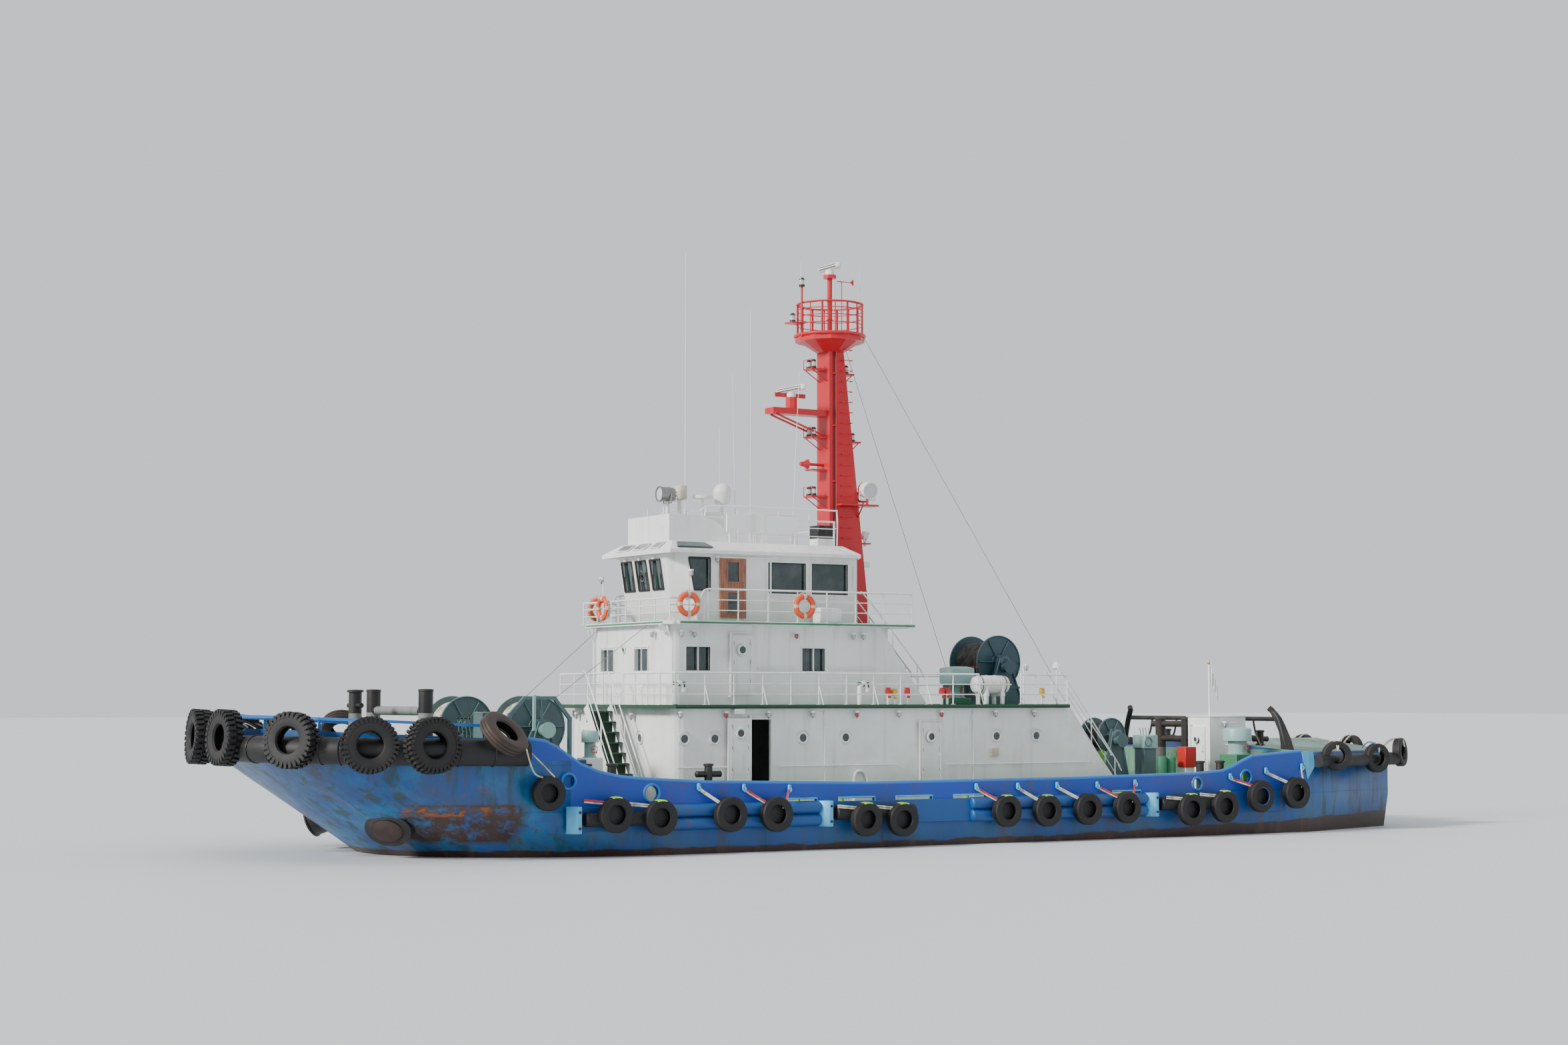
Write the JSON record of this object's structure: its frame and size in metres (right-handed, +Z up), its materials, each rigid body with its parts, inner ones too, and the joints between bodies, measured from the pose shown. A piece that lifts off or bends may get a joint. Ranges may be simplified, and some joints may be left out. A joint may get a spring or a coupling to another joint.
{
  "type": "harbour tugboat",
  "caption": "Harbour tugboat with tyre fenders, stepped white deckhouses, a red mast, towing winches and turning stern thrusters.",
  "frame": {"origin": "on the centreline at the waterline, amidships", "axes": "+X to the bow, +Y to port, +Z up"},
  "size_m": [37.4204, 11.7272, 20.8],
  "materials": {
    "hull_blue": "weathered gloss",
    "rail_blue": "weathered gloss",
    "white_paint": "semi-gloss",
    "raft_white": "gloss",
    "deck_green": "matt, non-slip",
    "rubber": "worn",
    "mast_red": "gloss",
    "winch_green": "gloss",
    "winch_blue": "gloss",
    "black_steel": "worn",
    "vent_green": "semi-gloss",
    "door_brown": "varnished",
    "window_glass": "clear",
    "antifouling": "matt",
    "bronze": "polished by water"
  },
  "bodies": {
    "ship": {"hull": "hull_blue", "bulwark_port": "hull_blue", "bulwark_starboard": "hull_blue", "strake_port": "hull_blue", "strake_starboard": "hull_blue", "bow_bulwark": "rail_blue", "main_house": "white_paint", "upper_house": "white_paint", "wheelhouse": "white_paint", "wheelhouse_roof": "white_paint", "top_screen": "white_paint", "boat_rail_port": "white_paint", "boat_rail_starboard": "white_paint", "boat_rail_front": "white_paint", "bridge_rail_port": "white_paint", "bridge_rail_starboard": "white_paint", "bridge_rail_front": "white_paint", "fore_stair": "white_paint", "aft_stair_port": "white_paint", "bridge_stair": "white_paint", "companionway": "white_paint", "life_raft": "raft_white", "boat_deck": "deck_green", "bridge_deck": "deck_green", "side_tyres_port": "rubber", "side_tyres_starboard": "rubber", "bow_fender": "rubber", "stern_fender": "rubber", "mast": "mast_red", "fore_winch_bed": "winch_green", "tow_winch_bed": "winch_blue", "aft_winch_bed": "winch_blue", "fore_bitts": "black_steel", "aft_bitts": "black_steel", "tow_bow": "black_steel", "boat_vent": "vent_green", "aft_vent": "vent_green", "fore_vent": "vent_green", "wheelhouse_glass": "window_glass", "upper_house_glass": "window_glass"},
    "thruster_port": {"thruster_port": "antifouling"},
    "thruster_starboard": {"thruster_starboard": "antifouling"},
    "propeller_port": {"propeller_port": "bronze"},
    "propeller_starboard": {"propeller_starboard": "bronze"},
    "fore_door_port": {"fore_door_port": "white_paint"},
    "fore_door_starboard": {"fore_door_starboard": "white_paint"},
    "aft_door_port": {"aft_door_port": "white_paint"},
    "aft_door_starboard": {"aft_door_starboard": "white_paint"},
    "upper_door_port": {"upper_door_port": "white_paint"},
    "upper_door_starboard": {"upper_door_starboard": "white_paint"},
    "sliding_door_port": {"sliding_door_port": "door_brown"},
    "sliding_door_starboard": {"sliding_door_starboard": "door_brown"},
    "companion_door": {"companion_door": "white_paint"},
    "fore_drum_port": {"fore_drum_port": "winch_green"},
    "fore_drum_starboard": {"fore_drum_starboard": "winch_green"},
    "tow_drum": {"tow_drum": "winch_blue"},
    "aft_drum": {"aft_drum": "winch_blue"},
    "radar_mid": {"radar_mid": "white_paint"},
    "radar_top": {"radar_top": "white_paint"}
  },
  "joints": [
    {"name": "thruster_port_turn", "type": "hinge", "parent": "ship", "child": "thruster_port", "pos_m": [-11.8, 2.2, -1.4], "axis": [0, 0, 1], "continuous": true},
    {"name": "propeller_port_spin", "type": "hinge", "parent": "thruster_port", "child": "propeller_port", "pos_m": [-12.44, 2.2, -3.25], "axis": [1, 0, 0], "continuous": true},
    {"name": "fore_door_port_hinge", "type": "hinge", "parent": "ship", "child": "fore_door_port", "pos_m": [4.9, 3.08, 2.56], "axis": [0, 0, 1], "range_deg": [0, 180]},
    {"name": "aft_door_port_hinge", "type": "hinge", "parent": "ship", "child": "aft_door_port", "pos_m": [-0.51, 3.08, 2.45], "axis": [0, 0, 1], "range_deg": [-170, 0]},
    {"name": "upper_door_port_hinge", "type": "hinge", "parent": "ship", "child": "upper_door_port", "pos_m": [5.08, 2.33, 4.84], "axis": [0, 0, 1], "range_deg": [-170, 0]},
    {"name": "sliding_door_port_slide", "type": "slide", "parent": "ship", "child": "sliding_door_port", "axis": [1, 0, 0], "range_m": [-0.76, 0]},
    {"name": "fore_drum_port_turn", "type": "hinge", "parent": "ship", "child": "fore_drum_port", "pos_m": [10.95, 2.2, 3.22], "axis": [0, 1, 0], "continuous": true},
    {"name": "thruster_starboard_turn", "type": "hinge", "parent": "ship", "child": "thruster_starboard", "pos_m": [-11.8, -2.2, -1.4], "axis": [0, 0, 1], "continuous": true},
    {"name": "propeller_starboard_spin", "type": "hinge", "parent": "thruster_starboard", "child": "propeller_starboard", "pos_m": [-12.44, -2.2, -3.25], "axis": [1, 0, 0], "continuous": true},
    {"name": "fore_door_starboard_hinge", "type": "hinge", "parent": "ship", "child": "fore_door_starboard", "pos_m": [4.9, -3.08, 2.56], "axis": [0, 0, 1], "range_deg": [-180, 0]},
    {"name": "aft_door_starboard_hinge", "type": "hinge", "parent": "ship", "child": "aft_door_starboard", "pos_m": [-0.51, -3.08, 2.45], "axis": [0, 0, 1], "range_deg": [0, 170]},
    {"name": "upper_door_starboard_hinge", "type": "hinge", "parent": "ship", "child": "upper_door_starboard", "pos_m": [5.08, -2.33, 4.84], "axis": [0, 0, 1], "range_deg": [0, 170]},
    {"name": "sliding_door_starboard_slide", "type": "slide", "parent": "ship", "child": "sliding_door_starboard", "axis": [1, 0, 0], "range_m": [-0.76, 0]},
    {"name": "fore_drum_starboard_turn", "type": "hinge", "parent": "ship", "child": "fore_drum_starboard", "pos_m": [10.95, -2.2, 3.22], "axis": [0, 1, 0], "continuous": true},
    {"name": "companion_door_hinge", "type": "hinge", "parent": "ship", "child": "companion_door", "pos_m": [-11.32, 1.68, 2.35], "axis": [0, 0, 1], "range_deg": [-170, 0]},
    {"name": "tow_drum_turn", "type": "hinge", "parent": "ship", "child": "tow_drum", "pos_m": [-4.85, 0.1, 5], "axis": [0, 1, 0], "continuous": true},
    {"name": "aft_drum_turn", "type": "hinge", "parent": "ship", "child": "aft_drum", "pos_m": [-8.7, 0.7, 2.84], "axis": [0, 1, 0], "continuous": true},
    {"name": "radar_mid_turn", "type": "hinge", "parent": "ship", "child": "radar_mid", "pos_m": [1.77, 0, 12.6], "axis": [0, 0, 1], "continuous": true},
    {"name": "radar_top_turn", "type": "hinge", "parent": "ship", "child": "radar_top", "pos_m": [0.475, 0, 16.2], "axis": [0, 0, 1], "continuous": true}
  ]
}
